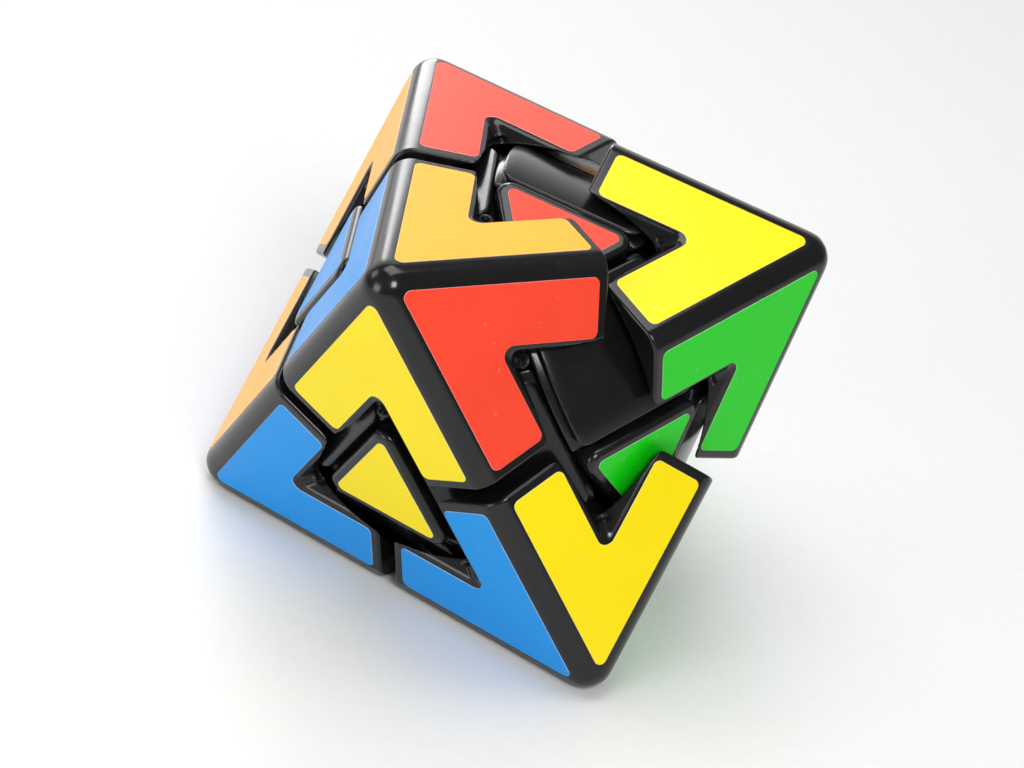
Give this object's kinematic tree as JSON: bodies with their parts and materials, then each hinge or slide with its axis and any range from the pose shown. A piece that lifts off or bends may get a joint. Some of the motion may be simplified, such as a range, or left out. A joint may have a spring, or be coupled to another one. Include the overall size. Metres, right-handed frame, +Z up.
{
  "type": "octahedral twisty puzzle",
  "caption": "Eight-faced twisty puzzle in black plastic with coloured chevron and triangle stickers; it turns about its corners and stands with one layer part turned.",
  "frame": {"origin": "middle of the face the puzzle stands on, on the surface it stands on", "axes": "+Z up, square to that face; +X to the right and -Y towards the viewer, with one corner cap pointing forward and up between them, in the plane X = 0"},
  "size_m": [0.0928, 0.1054, 0.0832],
  "materials": {
    "black_shell": "glossy moulded black plastic",
    "black_inner": "moulded black plastic, slightly duller",
    "core_nylon": "natural moulded nylon",
    "screw_steel": "zinc plated",
    "washer_steel": "plain steel",
    "spring_steel": "drawn spring wire",
    "red_sticker": "satin red vinyl",
    "orange_sticker": "satin orange vinyl",
    "yellow_sticker": "satin yellow vinyl",
    "green_sticker": "satin green vinyl",
    "blue_sticker": "satin blue vinyl",
    "white_sticker": "satin white vinyl",
    "purple_sticker": "satin purple vinyl",
    "pink_sticker": "satin pink vinyl"
  },
  "bodies": {
    "core_frame": {"core": "core_nylon", "pivot_screws": "screw_steel", "pivot_washers": "washer_steel", "pivot_springs": "spring_steel", "edges_middle": "black_shell"},
    "front_cap": {"cap_front": "black_shell", "stem_front": "black_inner", "chevron_front_right": "red_sticker", "chevron_front_top": "orange_sticker", "chevron_front_left": "blue_sticker", "chevron_front_front": "yellow_sticker"},
    "back_cap": {"cap_back": "black_shell", "stem_back": "black_inner", "chevron_back_rear": "white_sticker", "chevron_back_rear_right": "green_sticker", "chevron_back_base": "pink_sticker", "chevron_back_rear_left": "purple_sticker"},
    "upper_left_cap": {"cap_upper_left": "black_shell", "stem_upper_left": "black_inner", "chevron_upper_left_top": "red_sticker", "chevron_upper_left_rear": "white_sticker", "chevron_upper_left_rear_left": "purple_sticker", "chevron_upper_left_left": "orange_sticker"},
    "lower_right_cap": {"cap_lower_right": "black_shell", "stem_lower_right": "black_inner", "chevron_lower_right_front": "blue_sticker", "chevron_lower_right_base": "pink_sticker", "chevron_lower_right_rear_right": "green_sticker", "chevron_lower_right_right": "yellow_sticker"},
    "upper_right_layer": {"cap_upper_right": "black_shell", "stem_upper_right": "black_inner", "chevron_upper_right_right": "green_sticker", "chevron_upper_right_rear_right": "white_sticker", "chevron_upper_right_rear": "red_sticker", "chevron_upper_right_top": "yellow_sticker", "corner_top": "black_shell", "corner_rear": "black_shell", "corner_right": "black_shell", "corner_rear_right": "black_shell", "triangle_top": "red_sticker", "triangle_rear": "orange_sticker", "triangle_right": "green_sticker", "triangle_rear_right": "white_sticker", "edges_upper_right": "black_shell"},
    "lower_left_layer": {"cap_lower_left": "black_shell", "stem_lower_left": "black_inner", "chevron_lower_left_left": "orange_sticker", "chevron_lower_left_rear_left": "purple_sticker", "chevron_lower_left_base": "pink_sticker", "chevron_lower_left_front": "blue_sticker", "corner_rear_left": "black_shell", "corner_left": "black_shell", "corner_front": "black_shell", "corner_base": "black_shell", "triangle_rear_left": "purple_sticker", "triangle_left": "blue_sticker", "triangle_front": "yellow_sticker", "triangle_base": "pink_sticker", "edges_lower_left": "black_shell"}
  },
  "joints": [
    {"name": "turn_front", "type": "hinge", "parent": "core_frame", "child": "front_cap", "pos_m": [0, 0, 0.03868], "axis": [0, -0.8165, 0.5773], "continuous": true},
    {"name": "turn_back", "type": "hinge", "parent": "core_frame", "child": "back_cap", "pos_m": [0, 0, 0.03868], "axis": [0, 0.8165, -0.5773], "continuous": true},
    {"name": "turn_upper_right", "type": "hinge", "parent": "core_frame", "child": "upper_right_layer", "pos_m": [0, 0, 0.03868], "axis": [0.7071, 0.4082, 0.5774], "continuous": true},
    {"name": "turn_lower_left", "type": "hinge", "parent": "core_frame", "child": "lower_left_layer", "pos_m": [0, 0, 0.03868], "axis": [-0.7071, -0.4082, -0.5774], "continuous": true},
    {"name": "turn_upper_left", "type": "hinge", "parent": "core_frame", "child": "upper_left_cap", "pos_m": [0, 0, 0.03868], "axis": [-0.7071, 0.4082, 0.5774], "continuous": true},
    {"name": "turn_lower_right", "type": "hinge", "parent": "core_frame", "child": "lower_right_cap", "pos_m": [0, 0, 0.03868], "axis": [0.7071, -0.4082, -0.5774], "continuous": true}
  ]
}
